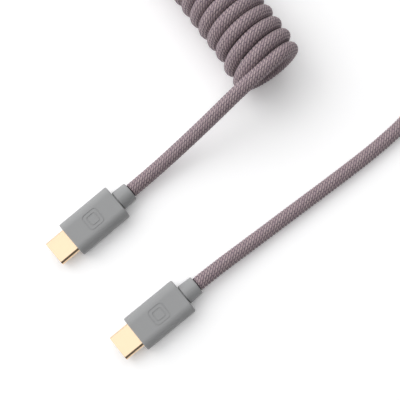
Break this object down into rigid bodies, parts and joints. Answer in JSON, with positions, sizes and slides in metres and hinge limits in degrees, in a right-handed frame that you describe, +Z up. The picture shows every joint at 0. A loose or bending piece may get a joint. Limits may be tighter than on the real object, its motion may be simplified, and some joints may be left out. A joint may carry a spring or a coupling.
{
  "type": "coiled usb-c cable",
  "caption": "Coiled, braided USB-C cable with a plug at each end, for linking a keyboard to its computer; shells, contacts, latch arms, card, wires and mouldings are separate pieces.",
  "frame": {"origin": "bottom centre of the box around the two plugs, on the surface they lie on", "axes": "+Z up, +X from the mouth of plug A towards its lead, +Y from plug B towards plug A and along the coil"},
  "size_m": [0.1489, 0.1523, 0.0221],
  "materials": {
    "gold_shell": "polished gold plating on deep-drawn steel",
    "insulator_black": "matt black moulding",
    "contact_gold": "gold-plated contacts",
    "spring_steel": "bare spring steel",
    "card_green": "green solder mask",
    "chip_black": "black moulded parts",
    "solder": "bright solder",
    "can_steel": "bright stamped steel",
    "inner_mould_white": "milky white moulding",
    "ferrule_nickel": "nickel plating",
    "jacket_black": "matt black jacket",
    "braid_mauve": "mauve-grey braided sleeve with a faint sheen",
    "wire_red": "red insulation",
    "wire_white": "white insulation",
    "wire_green": "green insulation",
    "wire_black": "black insulation",
    "housing_grey": "matt grey soft-touch moulding"
  },
  "bodies": {
    "cable": {"can_lower_a": "can_steel", "can_lower_b": "can_steel", "can_upper_a": "can_steel", "can_upper_b": "can_steel", "card_parts_a": "chip_black", "card_parts_b": "chip_black", "contacts_lower_a": "contact_gold", "contacts_lower_b": "contact_gold", "contacts_upper_a": "contact_gold", "contacts_upper_b": "contact_gold", "cord_coil": "braid_mauve", "cord_lead_a": "braid_mauve", "cord_lead_b": "braid_mauve", "ferrule_a": "ferrule_nickel", "ferrule_b": "ferrule_nickel", "ground_springs_a": "spring_steel", "ground_springs_b": "spring_steel", "housing_a": "housing_grey", "housing_b": "housing_grey", "inner_mould_a": "inner_mould_white", "inner_mould_b": "inner_mould_white", "insulator_a": "insulator_black", "insulator_b": "insulator_black", "jacket_end_a": "jacket_black", "jacket_end_b": "jacket_black", "latch_base_a": "spring_steel", "latch_base_b": "spring_steel", "paddle_card_a": "card_green", "paddle_card_b": "card_green", "shell_a": "gold_shell", "shell_b": "gold_shell", "sleeve_end_a": "braid_mauve", "sleeve_end_b": "braid_mauve", "solder_a": "solder", "solder_b": "solder", "strain_relief_a": "housing_grey", "strain_relief_b": "housing_grey", "wire_black_a": "wire_black", "wire_black_b": "wire_black", "wire_green_a": "wire_green", "wire_green_b": "wire_green", "wire_red_a": "wire_red", "wire_red_b": "wire_red", "wire_white_a": "wire_white", "wire_white_b": "wire_white"},
    "arm_left_a": {"latch_left_a": "spring_steel"},
    "arm_right_a": {"latch_right_a": "spring_steel"},
    "arm_left_b": {"latch_left_b": "spring_steel"},
    "arm_right_b": {"latch_right_b": "spring_steel"}
  },
  "joints": [
    {"name": "arm_left_a_bend", "type": "hinge", "parent": "cable", "child": "arm_left_a", "pos_m": [-0.0045, 0.02077, 0.00325], "axis": [0, 0, -1], "range_deg": [0, 1.5], "stiffness_Nm_per_rad": 0.3},
    {"name": "arm_right_a_bend", "type": "hinge", "parent": "cable", "child": "arm_right_a", "pos_m": [-0.0045, 0.01373, 0.00325], "axis": [0, 0, 1], "range_deg": [0, 1.5], "stiffness_Nm_per_rad": 0.3},
    {"name": "arm_left_b_bend", "type": "hinge", "parent": "cable", "child": "arm_left_b", "pos_m": [-0.00772, -0.01335, 0.00325], "axis": [0, 0, -1], "range_deg": [0, 1.5], "stiffness_Nm_per_rad": 0.3},
    {"name": "arm_right_b_bend", "type": "hinge", "parent": "cable", "child": "arm_right_b", "pos_m": [-0.00789, -0.02039, 0.00325], "axis": [0, 0, 1], "range_deg": [0, 1.5], "stiffness_Nm_per_rad": 0.3}
  ]
}
